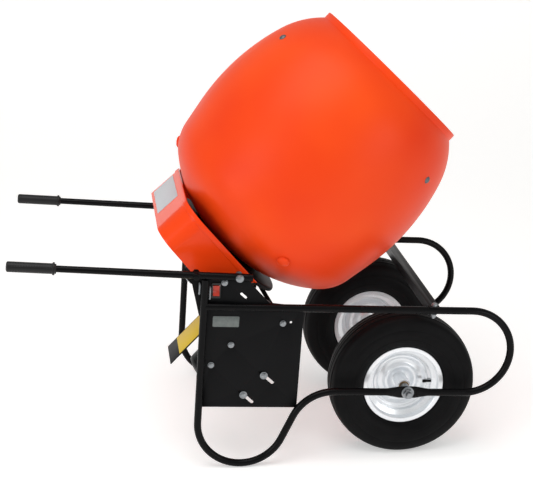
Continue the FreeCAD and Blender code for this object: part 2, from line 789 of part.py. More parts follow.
def key_block(gap):
    length = 26.0
    return Part.makeBox(7.0, 6.0, length, V(spindle_r - 3.5, -3.0, pulley_mid_s() - length / 2))


def spindle_nut():
    body = ring(26, spindle_r, 3, 0).fuse(hexagon(41, 16, 3).cut(ring(spindle_r, 0, 60, -10)))
    body.rotate(V(0, 0, 0), V(1, 0, 0), 180)
    body.translate(V(0, 0, carrier_s - carrier_t - housing_rear - side_gap))
    return body


def grooved(radius, half, mid, rest):
    """Pulley section: its rim with a V groove, then the points of rest (web and hub) as (z, r)."""
    deep = belt_deep + belt_sink + 1.5
    slope = (belt_half - belt_base) / belt_deep
    top = belt_half + groove_gap + slope * belt_sink
    low = belt_base + groove_gap - slope * 1.5
    rim = [(mid - half, radius), (mid - top, radius), (mid - low, radius - deep), (mid + low, radius - deep),
           (mid + top, radius), (mid + half, radius)]
    return turned(rim + rest)


def drum_pulley():
    mid = pulley_mid_s()
    inner = pulley_r - 18
    web = 4.0
    hub_half_len = 15.0
    rest = [(mid + pulley_half, inner), (mid + web, inner), (mid + web, pulley_hub_r),
            (mid + hub_half_len, pulley_hub_r), (mid + hub_half_len, spindle_r),
            (mid - hub_half_len, spindle_r), (mid - hub_half_len, pulley_hub_r), (mid - web, pulley_hub_r),
            (mid - web, inner), (mid - pulley_half, inner)]
    body = grooved(pulley_r, pulley_half, mid, rest)
    windows = 5
    for k in range(windows):
        turn = 2 * math.pi * (k + 0.5) / windows
        at = V(96 * math.cos(turn), 96 * math.sin(turn), mid - 20)
        body = body.cut(Part.makeCylinder(34, 40, at))
    return body.cut(key_block(0.0))


def motor_pulley():
    mid = pulley_mid_s()
    rest = [(mid + pulley_half, shaft_r), (mid - pulley_half, shaft_r)]
    return motor_axis(grooved(motor_pulley_r, pulley_half, mid, rest))


def output_shaft():
    front = pulley_mid_s() + pulley_half + 5
    rear = motor_front_s + 6
    body = Part.makeCylinder(shaft_r, front - rear, V(0, 0, rear))
    return motor_axis(body)


def drive_belt():
    """V-belt round both pulleys: a trapezoid swept along two arcs and two straight runs."""
    mid = pulley_mid_s()
    big = pulley_r - belt_sink
    small = motor_pulley_r - belt_sink
    far = V(motor_n, -motor_y, 0)
    span = far.Length
    along = V(far).normalize()
    side = V(-along.y, along.x, 0)
    lean = (big - small) / span
    rise = math.sqrt(1 - lean * lean)
    up = along * lean + side * rise
    down = along * lean - side * rise
    z = V(0, 0, mid)
    line = Part.LineSegment
    edges = [line(up * big + z, far + up * small + z).toShape(),
             Part.Arc(far + up * small + z, far + along * small + z, far + down * small + z).toShape(),
             line(far + down * small + z, down * big + z).toShape(),
             Part.Arc(down * big + z, along * -big + z, up * big + z).toShape()]
    start = up * big + z
    back = [start + V(0, 0, -belt_half), start + V(0, 0, belt_half), start - up * belt_deep + V(0, 0, belt_base),
            start - up * belt_deep + V(0, 0, -belt_base)]
    section = Part.makePolygon(back + back[:1])
    return on_drum_axis(Part.Wire(edges).makePipeShell([section], True, True))


def housing_bolt_places():
    turns = [math.radians(turn) for turn in housing_bolt_turns]
    return [(housing_bolt_circle * math.cos(turn), housing_bolt_circle * math.sin(turn)) for turn in turns]


def hood_boss_places():
    return [(hood_boss_n, -hood_boss_y), (hood_boss_n, hood_boss_y)]


def drum_carrier():
    """Folded plate welded between the side plates, square to the spindle."""
    inner = plate_y - plate_t
    rear = carrier_s - carrier_t
    body = Part.makeBox(carrier_top - carrier_low, 2 * inner, carrier_t, V(carrier_low, -inner, rear))
    short = inner - carrier_fold_in
    fold = Part.makeBox(carrier_fold_t, 2 * short, carrier_fold, V(carrier_low, -short, rear - carrier_fold))
    body = body.fuse(fold).cut(Part.makeCylinder(housing_r, 60, V(0, 0, carrier_s - 30)))
    for at in housing_bolt_places() + hood_boss_places():
        body = body.cut(Part.makeCylinder(bolt_m8 + hole_gap, 40, V(*at, carrier_s - 20)))
    return body.removeSplitter()


def bearing_housing():
    """Cast tube through the carrier, with a bolted flange on its rear face."""
    rear = carrier_s - carrier_t
    low = rear - housing_rear
    length = housing_rear + carrier_t + housing_front
    flange = ring(housing_flange_r, 0, housing_flange_t, rear - housing_flange_t)
    reach = carrier_top - carrier_low
    band = Part.makeBox(reach - carrier_fold_t - 1, 300, 60, V(carrier_low + carrier_fold_t + 1, -150, rear - 30))
    body = Part.makeCylinder(housing_r, length, V(0, 0, low)).fuse(flange.common(band))
    body = body.cut(Part.makeCylinder(bearing_r - 6, length + 4, V(0, 0, low - 2)))
    for base in (low, low + length - bearing_len):
        body = body.cut(Part.makeCylinder(bearing_r, bearing_len, V(0, 0, base)))
    for at in housing_bolt_places():
        body = body.cut(Part.makeCylinder(bolt_m8 + hole_gap, 60, V(*at, rear - 30)))
    return body


def housing_bolts():
    solids = []
    for at in housing_bolt_places():
        one = bolt(bolt_m8, carrier_t + housing_flange_t)
        one.translate(V(*at, carrier_s))
        solids.append(one)
    return Part.makeCompound(solids)


def spindle_bearings():
    low = carrier_s - carrier_t - housing_rear
    top = carrier_s + housing_front - bearing_len
    return Part.makeCompound([ring(bearing_r, spindle_r + run_gap, bearing_len, base) for base in (low, top)])


# ---------------------------------------------------------------- gear motor
def motor_shell():
    length = motor_front_s - motor_rear_s
    body = ring(motor_r, motor_r - motor_shell_t, length, motor_rear_s)
    return motor_axis(body)


def motor_end_cover():
    """Domed fan cover with a ring of air slots."""
    low = motor_rear_s - cover_len
    r = motor_r
    outer = [(motor_rear_s, 0), (motor_rear_s, r), (motor_rear_s - cover_len * 0.5, r - 2), (low, r - 18), (low, 0)]
    body = turned(outer)
    body = body.cut(turned([(motor_rear_s, 0), (motor_rear_s, r - 3), (motor_rear_s - cover_len * 0.5, r - 5),
                            (low + 3, r - 21), (low + 3, 0)]))
    slots = 12
    for k in range(slots):
        slot = Part.makeBox(24, 4, 12, V(18, -2, low - 4))
        slot.rotate(V(0, 0, 0), V(0, 0, 1), 360 * k / slots)
        body = body.cut(slot)
    return motor_axis(body)


def gearhead():
    """Cast gear case with a nose that holds the output bush."""
    front = motor_front_s + gear_len
    body = turned([(motor_front_s, 0), (motor_front_s, motor_r), (motor_front_s + 8, motor_r),
                   (motor_front_s + 8, gear_r), (front - 12, gear_r - 3), (front - 8, 26), (front, 24), (front, 0)])
    return motor_axis(body.cut(Part.makeCylinder(shaft_bush_r, gear_len + 4, V(0, 0, motor_front_s + 4))))


def output_bush():
    return motor_axis(ring(shaft_bush_r, shaft_r + run_gap, gear_len - 6, motor_front_s + 6))


def capacitor_box():
    """Rounded box on the motor, away from the side plate."""
    body = Part.makeBox(46, 34, 90, V(-23, motor_r * 0.86, motor_rear_s + 20))
    body = body.makeFillet(5, [e for e in body.Edges if abs(e.tangentAt(0).z) > 0.9])
    body = body.cut(Part.makeCylinder(motor_r, 400, V(0, 0, motor_rear_s - 100)))
    body.rotate(V(0, 0, 0), V(0, 0, 1), 180)
    return motor_axis(body)


def motor_foot():
    """Foot plate against the side plate, with two ribs up to the motor."""
    y0 = plate_y - plate_t - foot_t
    (sa, na), (sb, nb) = motor_bolts_at
    edge = 9.0
    lean = (na - nb) / (sa - sb)
    low_a = na - edge + lean * 16
    low_b = nb - edge - lean * 18
    top = motor_n + foot_rise
    outline = [V(low_a, y0, sa + 16), V(top, y0, sa + 16), V(top, y0, sb - 18), V(low_b, y0, sb - 18)]
    body = Part.Face(Part.makePolygon(outline + outline[:1])).extrude(V(0, foot_t, 0))
    for s in (sa + 4, sb - 6):
        body = body.fuse(Part.makeBox(80, y0 + motor_y, 8, V(motor_n - 40, -motor_y, s - 4)))
    body = body.cut(Part.makeCylinder(motor_r, 400, V(motor_n, -motor_y, motor_rear_s - 100)))
    for s, n in motor_bolts_at:
        body = body.cut(Part.makeCylinder(bolt_m8 + hole_gap, 60, V(n, y0 - 20, s), V(0, 1, 0)))
    return on_drum_axis(body)


def motor_bolts():
    solids = []
    for s, n in motor_bolts_at:
        at = axis_point(s, n)
        solids.append(along_y(bolt(bolt_m8, plate_t + foot_t, 10.5), at.x, -plate_y, at.z))
    return Part.makeCompound(solids)


# ---------------------------------------------------------------- hood
def hood_section(share, outset=0.0):
    """Closed U section of the hood, share 0 at its front and 1 at its back."""
    def mix(a, b):
        return a + share * (b - a)

    top = mix(hood_front_top, hood_back_top) + outset
    half = mix(hood_front_half, hood_back_half) + outset
    corner = mix(hood_front_corner, hood_back_corner) + outset
    low = -120.0
    s_ref = mix(hood_front_s, hood_back_s)
    rake = mix(hood_front_rake, hood_back_rake)

    def place(n, y):
        return V(n, y, s_ref + rake * (n - hood_ref_n))

    cut_in = corner * (1 - math.sqrt(0.5))
    line = Part.LineSegment
    a0, a1 = place(top - corner, -half), place(top, -half + corner)
    b0, b1 = place(top, half - corner), place(top - corner, half)
    return Part.Wire([line(place(low, -half), a0).toShape(),
                      Part.Arc(a0, place(top - cut_in, -half + cut_in), a1).toShape(),
                      line(a1, b0).toShape(), Part.Arc(b0, place(top - cut_in, half - cut_in), b1).toShape(),
                      line(b1, place(low, half)).toShape(), line(place(low, half), place(low, -half)).toShape()])


def hood_depth():
    return hood_front_s - hood_back_s


def drive_hood():
    deep = hood_depth()
    outer = Part.makeLoft([hood_section(0), hood_section(1)], True, True)
    outer = outer.fuse(Part.makeLoft([hood_section(0, hood_lip_proud), hood_section(hood_lip / deep, hood_lip_proud)],
                                     True, True))
    inner = Part.makeLoft([hood_section(-0.2, -hood_wall), hood_section(1 - hood_wall / deep, -hood_wall)],
                          True, True)
    body = outer.cut(inner)
    for n, y in hood_boss_places():
        boss = Part.makeCylinder(hood_boss_r, 40, V(n, y, carrier_s))
        shell_back = Part.makeLoft([hood_section(1 - hood_wall / deep), hood_section(1 + 0.5)], True, True)
        body = body.fuse(boss.common(shell_back))
    for n, y in hood_boss_places():
        body = body.cut(Part.makeCylinder(bolt_m8 + hole_gap, 90, V(n, y, carrier_s - 10)))
    body = body.cut(Part.makeCylinder(housing_r + 3, 60, V(0, 0, carrier_s - 10)))
    body = on_drum_axis(body)
    floor = Part.makeBox(900, 900, 600, V(-1000, -450, hood_bottom_z - 600))
    return body.cut(floor)


def hood_screws():
    solids = []
    for n, y in hood_boss_places():
        back = hood_back_s + hood_back_rake * (n - hood_ref_n) + hood_wall
        one = bolt(bolt_m8, back - (carrier_s - carrier_t) + 1.0, 9.5)
        one.translate(V(n, y, back + 1.0))
        solids.append(one)
    return on_drum_axis(Part.makeCompound(solids))


def hood_label():
    """Blank label on the hood's top."""
    deep = hood_depth()
    front = (hood_lip + label_ahead) / deep
    back = front + label_len / deep
    skin = Part.makeLoft([hood_section(front, label_t), hood_section(back, label_t)], True, True)
    skin = skin.cut(Part.makeLoft([hood_section(0), hood_section(1)], True, True))
    keep = Part.makeBox(200, 2 * label_half, 400, V(hood_ref_n, -label_y - label_half, -600))
    return on_drum_axis(skin.common(keep))


# ---------------------------------------------------------------- guard, plates, switch
def motor_guard():
    """Folded sheet over the motor, with a flange bolted to the right side plate."""
    inner = plate_y - plate_t
    length = guard_front_s - guard_rear_s
    top = Part.makeBox(guard_sheet, guard_width, length, V(guard_n, inner - guard_width, guard_rear_s))
    s, n = guard_bolt
    low = n - guard_flange_low
    flange = Part.makeBox(guard_n + guard_sheet - low, guard_sheet, 2 * guard_flange_half,
                          V(low, inner - guard_sheet, s - guard_flange_half))
    body = top.fuse(flange).removeSplitter()
    body = body.cut(Part.makeCylinder(bolt_m8 + hole_gap, 60, V(n, inner - 30, s), V(0, 1, 0)))
    return on_drum_axis(body)


def guard_label():
    inner = plate_y - plate_t
    wide = guard_width - 2 * guard_label_edge
    face = Part.makeBox(label_t, wide, guard_label_len,
                        V(guard_n + guard_sheet, inner - guard_label_edge - wide, guard_rear_s + guard_label_in))
    return on_drum_axis(face)


def name_plate():
    body = Part.makeBox(name_w, name_t, name_h, V(name_x, -plate_y - name_t, name_z))
    return body.makeFillet(3, [e for e in body.Edges if abs(e.tangentAt(0).y) > 0.9])


def switch_box():
    """Switch body behind the plate, with its bezel on the outside."""
    inset = 3.5
    bezel = Part.makeBox(switch_w, bezel_t, switch_h,
                         V(switch_x - switch_w / 2, -plate_y - bezel_t, switch_z - switch_h / 2))
    bezel = bezel.makeFillet(3, [e for e in bezel.Edges if abs(e.tangentAt(0).y) > 0.9])
    body = Part.makeBox(switch_w - 2 * inset, switch_deep, switch_h - 2 * inset,
                        V(switch_x - switch_w / 2 + inset, -plate_y, switch_z - switch_h / 2 + inset))
    window = Part.makeBox(rocker_w + 2, 16, rocker_h + 4,
                          V(switch_x - rocker_w / 2 - 1, -plate_y - 8, switch_z - rocker_h / 2 - 2))
    return bezel.fuse(body).cut(window).removeSplitter()


def switch_rocker():
    """Red rocker with a raised end, turning about a pin across the switch."""
    half_h = rocker_h / 2
    y0 = -plate_y - bezel_t - 1
    outline = [(y0 + rocker_t, -half_h + 4), (y0, -half_h), (y0 - 5, -half_h), (y0 - 3, -half_h + 7),
               (y0 + 1.5, 0), (y0 - 3, half_h), (y0 + 2, half_h), (y0 + rocker_t, half_h - 4)]
    wire = Part.makePolygon([V(switch_x - rocker_w / 2, y, switch_z + z) for y, z in outline + outline[:1]])
    body = Part.Face(wire).extrude(V(rocker_w, 0, 0))
    body.rotate(V(*rocker_pivot), V(1, 0, 0), -rocker_tilt)
    return body


rocker_pivot = (switch_x, -plate_y, switch_z)


def switch_leads():
    """Two wires that loop out of the plate beside the switch and back in."""
    out_y = -plate_y - lead_out
    ahead = rear_x + tube_r + lead_r + lead_gap
    behind = rear_x - tube_r - lead_r - lead_gap
    loops = [((ahead, lead_top - 10), (ahead, lead_low - 14)), ((behind, lead_top), (behind, lead_low))]
    solids = []
    for (x0, z0), (x1, z1) in loops:
        points = [V(x0, -plate_y, z0), V(x0, out_y, z0), V(x1, out_y, z1), V(x1, -plate_y, z1)]
        solids.append(swept(rounded_path(points, lead_bend), lead_r))
    return Part.makeCompound(solids)


# ---------------------------------------------------------------- the whole machine
def all_nodes():
    nodes = {
        "side_frame_right": side_frame(-1), "side_frame_left": side_frame(1),
        "side_plate_right": side_plate_right(), "pedestal_plate_left": pedestal_plate_left(),
        "handle_right": handle(-1), "handle_left": handle(1), "grip_right": grip(-1), "grip_left": grip(1),
        "handle_bolts": handle_bolts(), "plate_bolts": plate_bolts(), "cross_brace": cross_brace(),
        "cross_brace_bolts": cross_brace_bolts(), "axle": axle(), "axle_spacers": axle_spacers(),
        "axle_nuts": axle_nuts(), "drum_carrier": on_drum_axis(drum_carrier()),
        "bearing_housing": on_drum_axis(bearing_housing()), "housing_bolts": on_drum_axis(housing_bolts()),
        "spindle_bearings": on_drum_axis(spindle_bearings()), "drive_hood": drive_hood(),
        "hood_screws": hood_screws(), "hood_label": hood_label(), "drive_belt": drive_belt(),
        "motor_guard": motor_guard(), "guard_label": guard_label(), "name_plate": name_plate(),
        "switch_box": switch_box(), "switch_leads": switch_leads(), "motor_shell": motor_shell(),
        "motor_end_cover": motor_end_cover(), "gearhead": gearhead(), "output_bush": output_bush(),
        "capacitor_box": capacitor_box(), "motor_foot": motor_foot(), "motor_bolts": motor_bolts(),
        "output_shaft": output_shaft(), "motor_pulley": motor_pulley(), "switch_rocker": switch_rocker(),
        "drum_shell": on_drum_axis(drum_shell()), "paddle_bolts": on_drum_axis(paddle_bolts()),
        "drum_caps": on_drum_axis(drum_caps()), "support_pan": on_drum_axis(support_pan()),
        "pan_bolts": on_drum_axis(pan_bolts()), "spindle": on_drum_axis(spindle()),
        "spindle_nut": on_drum_axis(spindle_nut()), "drum_pulley": on_drum_axis(drum_pulley()),
        "pulley_key": on_drum_axis(key_block(0.0))}
    for k in range(paddle_count):
        nodes["paddle_%d" % (k + 1)] = on_drum_axis(paddle(k * 2 * math.pi / paddle_count))
    nodes.update(wheel(-1))
    nodes.update(wheel(1))
    return nodes


def floor_pitch():
    """Nose-down angle at which the foot bends and the tyres touch one floor."""
    cx = rear_x + bend_r
    reach = math.hypot(cx, foot_z)
    return -math.acos((bend_r + tube_r - tyre_r) / reach) - math.atan2(cx, foot_z)


pitch = floor_pitch()
pieces = all_nodes()
for piece in pieces.values():
    piece.rotate(V(0, 0, 0), V(0, 1, 0), math.degrees(pitch))
span = FreeCAD.BoundBox()
for piece in pieces.values():
    span.add(piece.optimalBoundingBox(False))
origin_x = (span.XMin + span.XMax) / 2


def placed(x, y, z):
    """A working-axes point in the finished model's frame."""
    return (x * math.cos(pitch) + z * math.sin(pitch) - origin_x, y,
            z * math.cos(pitch) - x * math.sin(pitch) + tyre_r)


os.makedirs("parts", exist_ok=True)
for name, piece in pieces.items():
    piece.translate(V(-origin_x, 0, tyre_r))
    piece.exportStep("parts/%s.step" % name)
print("nodes", len(pieces), "pitch", round(math.degrees(pitch), 3), "size",
      [round(v, 1) for v in (span.XLength, span.YLength, span.ZLength)], "floor", round(span.ZMin + tyre_r, 3))
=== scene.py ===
"""Barrow-type concrete mixer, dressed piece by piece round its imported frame, in the order it is built."""

import bmesh
import bpy
import json
import math
from mathutils import Matrix, Vector


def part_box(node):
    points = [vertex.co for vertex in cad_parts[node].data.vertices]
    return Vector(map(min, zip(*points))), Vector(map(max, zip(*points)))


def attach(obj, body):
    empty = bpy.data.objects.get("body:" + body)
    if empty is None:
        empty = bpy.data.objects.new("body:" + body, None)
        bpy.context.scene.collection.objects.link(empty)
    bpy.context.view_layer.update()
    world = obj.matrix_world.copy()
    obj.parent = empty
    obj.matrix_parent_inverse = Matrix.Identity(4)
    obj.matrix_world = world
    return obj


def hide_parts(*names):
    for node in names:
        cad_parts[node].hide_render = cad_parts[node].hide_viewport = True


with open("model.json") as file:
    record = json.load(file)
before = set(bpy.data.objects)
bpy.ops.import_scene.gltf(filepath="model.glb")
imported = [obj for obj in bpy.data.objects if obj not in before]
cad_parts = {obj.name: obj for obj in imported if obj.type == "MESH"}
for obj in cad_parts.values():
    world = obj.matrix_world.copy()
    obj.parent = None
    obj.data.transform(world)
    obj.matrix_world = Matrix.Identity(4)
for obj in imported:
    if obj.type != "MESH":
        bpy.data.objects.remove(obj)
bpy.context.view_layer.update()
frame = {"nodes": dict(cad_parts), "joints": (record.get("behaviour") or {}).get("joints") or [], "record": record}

# ------------------------------------------------------------------ stand, camera and lights
# The mixer stands on a pale studio floor that curves up behind it, seen from its right-hand side,
# a little above and behind the middle. A wide soft lamp overhead and one at each side light it.
MM = 0.001


def linear(code):
    """sRGB hex code as the linear colour that a shader takes."""
    parts = [int(code[k:k + 2], 16) / 255 for k in (1, 3, 5)]
    return tuple(c / 12.92 if c <= 0.04045 else ((c + 0.055) / 1.055) ** 2.4 for c in parts) + (1.0,)


def add(tree, kind, values=None, links=None, **settings):
    """Adds one node, with its settings, its socket values and what its sockets are linked to."""
    made = tree.nodes.new(kind)
    for key, value in settings.items():
        setattr(made, key, value)
    for socket, value in (values or {}).items():
        made.inputs[socket].default_value = value
    for socket, source in (links or {}).items():
        tree.links.new(source, made.inputs[socket])
    return made


def new_finish(name):
    """An empty material, with its tree and the coordinates of the piece in metres."""
    finish = bpy.data.materials.new(name)
    finish.use_nodes = True
    finish.node_tree.nodes.clear()
    place = add(finish.node_tree, "ShaderNodeTexCoord").outputs["Object"]
    return finish, finish.node_tree, place


def close_finish(tree, values, links):
    """Ends a material in one Principled shader."""
    shader = add(tree, "ShaderNodeBsdfPrincipled", values, links)
    add(tree, "ShaderNodeOutputMaterial", links={"Surface": shader.outputs["BSDF"]})


floor_finish, floor_tree, _ = new_finish("matt_studio_paper")
close_finish(floor_tree, {"Base Color": linear("#f4f4f3"), "Roughness": 0.9,
                          "Emission Color": linear("#ffffff"), "Emission Strength": 0.36}, {})
sweep = bmesh.new()
floor_front = -3.5
floor_rear = 3.0
floor_half = 7
curve_r = 1.6
front_edge = sweep.edges.new([sweep.verts.new((across, floor_front, 0))
                              for across in (-floor_half, floor_half)])
far_edge = bmesh.ops.extrude_edge_only(sweep, edges=[front_edge])["geom"]
far_verts = [v for v in far_edge if isinstance(v, bmesh.types.BMVert)]
bmesh.ops.translate(sweep, verts=far_verts, vec=(0, floor_rear - floor_front, 0))
rear_edge = [e for e in sweep.edges if all(abs(v.co.y - floor_rear) < 1e-6 for v in e.verts)]
bmesh.ops.spin(sweep, geom=rear_edge, cent=(0, floor_rear, curve_r), axis=(1, 0, 0),
               angle=math.radians(90), steps=16)
sweep_mesh = bpy.data.meshes.new("studio_sweep")
sweep.to_mesh(sweep_mesh)
sweep_mesh.shade_smooth()
studio_sweep = bpy.data.objects.new("studio_sweep", sweep_mesh)
sweep_mesh.materials.append(floor_finish)
bpy.context.scene.collection.objects.link(studio_sweep)

eye_turn = math.radians(7.9)        # round to the machine's right-hand rear
eye_rise = math.radians(17.87)
eye_roll = math.radians(1.35)
eye_far = 3.71
aim = Vector((0.031, 0, 0.547))
back = Vector((-math.sin(eye_turn) * math.cos(eye_rise), -math.cos(eye_turn) * math.cos(eye_rise),
               math.sin(eye_rise)))
level = Vector((math.cos(eye_turn), -math.sin(eye_turn), 0))
eye = bpy.data.cameras.new("eye")
eye.sensor_width = 36.0
eye.lens = 88.57
eye_object = bpy.data.objects.new("eye", eye)
facing = Matrix((level, back.cross(level), back)).transposed().to_4x4()
rolled = Matrix.Rotation(eye_roll, 4, "Z")
eye_object.matrix_world = Matrix.Translation(aim + back * eye_far) @ facing @ rolled
bpy.context.scene.collection.objects.link(eye_object)
bpy.context.scene.camera = eye_object
lamp_aim = Vector((0.05, 0, 0.6))


def soft_lamp(name, place, size, power, tint="#ffffff"):
    """Square area lamp that looks at the middle of the machine."""
    lamp = bpy.data.lights.new(name, "AREA")
    lamp.shape = "SQUARE"
    lamp.size = size
    lamp.energy = power
    lamp.color = linear(tint)[:3]
    holder = bpy.data.objects.new(name, lamp)
    way = lamp_aim - Vector(place)
    holder.matrix_world = Matrix.Translation(place) @ way.to_track_quat("-Z", "Y").to_matrix().to_4x4()
    bpy.context.scene.collection.objects.link(holder)


soft_lamp("top_lamp", (-0.6, -1.0, 3.6), 2.4, 52)
soft_lamp("left_lamp", (-3.2, -2.4, 1.6), 1.8, 38)
soft_lamp("right_lamp", (2.6, -3.2, 1.3), 1.6, 26)
world = bpy.data.worlds.new("pale_room")
world.use_nodes = True
world.node_tree.nodes["Background"].inputs["Color"].default_value = linear("#fffdfb")
world.node_tree.nodes["Background"].inputs["Strength"].default_value = 0.5
bpy.context.scene.world = world
bpy.context.scene.view_settings.view_transform = "Standard"

# ------------------------------------------------------------------ side frames
# One length of 20 mm steel tube on each side, bent on one former all round and welded where its end
# meets the rear upright. Dipped in gloss black enamel: deep black with long, slightly wavy highlights.


def enamel(name, colour, rough, wave, fleck):
    """Stoved enamel on steel: even colour, faint orange peel, and dust in broad soft patches."""
    finish, tree, place = new_finish(name)
    patches = add(tree, "ShaderNodeTexNoise", {"Scale": 14.0, "Detail": 5.0, "Roughness": 0.6},
                  {"Vector": place})
    tone = add(tree, "ShaderNodeMix", {"A": linear(colour), "B": linear(fleck)},
               {"Factor": patches.outputs["Fac"]}, data_type="RGBA")
    sheen = add(tree, "ShaderNodeMapRange", {"To Min": rough - 0.06, "To Max": rough + 0.12},
                {"Value": patches.outputs["Fac"]})
    peel = add(tree, "ShaderNodeTexNoise", {"Scale": 320.0, "Detail": 2.0}, {"Vector": place})
    relief = add(tree, "ShaderNodeBump", {"Strength": wave, "Distance": 0.0003},
                 {"Height": peel.outputs["Fac"]})
    close_finish(tree, {"Specular IOR Level": 0.1},
                 {"Base Color": tone.outputs["Result"], "Roughness": sheen.outputs["Result"],
                  "Normal": relief.outputs["Normal"]})
    return finish


black_enamel = enamel("gloss_black_enamel", "#060607", 0.24, 0.25, "#0b0b0c")


def dress(node_name, finish):
    """Gives a piece of the frame its finish and leaves its shape as it is."""
    piece = frame["nodes"][node_name]
    piece.data.materials.clear()
    piece.data.materials.append(finish)
    return piece


for side in ("right", "left"):
    dress("side_frame_" + side, black_enamel)

# ------------------------------------------------------------------ side plates
# A full plate on the right carries the motor; the left one is only the pedestal under its handle. Both
# are 4 mm steel, laser cut, with their edges just broken, welded inside the frames and enamelled.


def body_named(node_name):
    """The body that a node of the frame rides on."""
    bodies = frame["record"]["behaviour"]["bodies"]
    return next(body for body, nodes in bodies.items() if node_name in nodes)


def keep_piece(shape, name, finish, *nodes, crease=32):
    """Makes a finished bmesh into a piece that stands for these nodes and rides with them."""
    mesh = bpy.data.meshes.new(name)
    shape.to_mesh(mesh)
    shape.free()
    mesh.materials.append(finish)
    mesh.shade_smooth()
    mesh.set_sharp_from_angle(angle=math.radians(crease))
    piece = bpy.data.objects.new(name, mesh)
    bpy.context.scene.collection.objects.link(piece)
    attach(piece, body_named(nodes[0]))
    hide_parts(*nodes)
    return piece


def broken_edges(node_name, finish, width, turns=2, sharp=28):
    """The node's own shape with every sharp edge rounded by width, as filing or casting leaves it."""
    shape = bmesh.new()
    shape.from_mesh(frame["nodes"][node_name].data)
    bmesh.ops.remove_doubles(shape, verts=shape.verts, dist=0.00001)
    bmesh.ops.dissolve_limit(shape, angle_limit=math.radians(0.6), verts=shape.verts, edges=shape.edges,
                             use_dissolve_boundaries=False)
    edges = [e for e in shape.edges if e.is_manifold and e.calc_face_angle(0) > math.radians(sharp)]
    bmesh.ops.bevel(shape, geom=edges, offset=width, offset_type="OFFSET", segments=turns, profile=0.5,
                    affect="EDGES", material=-1, clamp_overlap=True, loop_slide=True)
    bmesh.ops.triangulate(shape, faces=[f for f in shape.faces if len(f.verts) > 4])
    return keep_piece(shape, node_name + "_dressed", finish, node_name)


plate_enamel = enamel("stoved_black_plate_enamel", "#08090a", 0.42, 0.3, "#0e0e10")
for node_name in ("side_plate_right", "pedestal_plate_left"):
    broken_edges(node_name, plate_enamel, 0.6 * MM)

# ------------------------------------------------------------------ cross brace
# A folded strip of steel bolted over the two top tubes, ahead of the drum. Its enamel is thinner and
# greyer, and its two zinc bolts are bright.
brace_enamel = enamel("thin_grey_black_enamel", "#0b0b0c", 0.32, 0.3, "#1c1d1f")
broken_edges("cross_brace", brace_enamel, 0.5 * MM)


def plated_steel(name, colour, bright, rough, grain):
    """Zinc-plated or ground steel: clear metal with fine turning marks and a cloudy passivation."""
    finish, tree, place = new_finish(name)
    cloud = add(tree, "ShaderNodeTexNoise", {"Scale": 90.0, "Detail": 4.0}, {"Vector": place})
    tone = add(tree, "ShaderNodeMix", {"A": linear(colour), "B": linear(bright)},
               {"Factor": cloud.outputs["Fac"]}, data_type="RGBA")
    marks = add(tree, "ShaderNodeTexNoise", {"Scale": grain, "Detail": 3.0}, {"Vector": place})
    relief = add(tree, "ShaderNodeBump", {"Strength": 0.15, "Distance": 0.0002},
                 {"Height": marks.outputs["Fac"]})
    sheen = add(tree, "ShaderNodeMapRange", {"To Min": rough - 0.05, "To Max": rough + 0.15},
                {"Value": cloud.outputs["Fac"]})
    close_finish(tree, {"Metallic": 1.0}, {"Base Color": tone.outputs["Result"],
                                           "Roughness": sheen.outputs["Result"],
                                           "Normal": relief.outputs["Normal"]})
    return finish


zinc_plate = plated_steel("bright_zinc_plate", "#5d6165", "#a9adb0", 0.3, 900.0)
broken_edges("cross_brace_bolts", zinc_plate, 0.3 * MM, sharp=50)

# ------------------------------------------------------------------ axle
# A plain 16 mm bar through both flattened tubes, with spacers beside the hubs and a washer and a nut
# on each end. All of it is zinc plated.
for node_name in ("axle", "axle_spacers", "axle_nuts"):
    broken_edges(node_name, zinc_plate, 0.4 * MM, sharp=50)

# ------------------------------------------------------------------ tyres
# Two 4.80/4.00-8 barrow tyres: black rubber with a blunt shoulder, a plain sidewall with two moulded
# rings, and a road tread of four grooves round the crown. Clean rubber, black with a soft sheen.


def wheel_centre(side):
    low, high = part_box("rim_" + side)
    return (low + high) / 2


def closed_loop(shape, verts):
    """Joins a list of vertices into one closed profile."""
    for near, far in zip(verts, verts[1:] + verts[:1]):
        shape.edges.new((near, far))


def full_turn(shape, centre, axis, steps):
    """Turns every edge of a profile into a closed body and points its faces outwards."""
    bmesh.ops.spin(shape, geom=list(shape.verts) + list(shape.edges), cent=centre, axis=axis,
                   angle=2 * math.pi, steps=steps, use_merge=True)
    bmesh.ops.remove_doubles(shape, verts=shape.verts, dist=0.00002)
    bmesh.ops.recalc_face_normals(shape, faces=shape.faces)


def moulded_rubber(name, colour, rough, grain):
    """Moulded rubber: near black, bloomed a little grey, with a fine pebble from the mould."""
    finish, tree, place = new_finish(name)
    bloom = add(tree, "ShaderNodeTexNoise", {"Scale": 22.0, "Detail": 6.0, "Roughness": 0.65},
                {"Vector": place})
    tone = add(tree, "ShaderNodeValToRGB", links={"Fac": bloom.outputs["Fac"]})
    tone.color_ramp.elements[0].position = 0.35
    tone.color_ramp.elements[0].color = linear(colour)
    tone.color_ramp.elements[1].position = 0.85
    tone.color_ramp.elements[1].color = linear("#121213")
    pebble = add(tree, "ShaderNodeTexNoise", {"Scale": grain, "Detail": 3.0}, {"Vector": place})
    relief = add(tree, "ShaderNodeBump", {"Strength": 0.35, "Distance": 0.0004},
                 {"Height": pebble.outputs["Fac"]})
    sheen = add(tree, "ShaderNodeMapRange", {"To Min": rough - 0.08, "To Max": rough + 0.12},
                {"Value": bloom.outputs["Fac"]})
    close_finish(tree, {"Specular IOR Level": 0.08},
                 {"Base Color": tone.outputs["Color"], "Roughness": sheen.outputs["Result"],
                  "Normal": relief.outputs["Normal"]})
    return finish


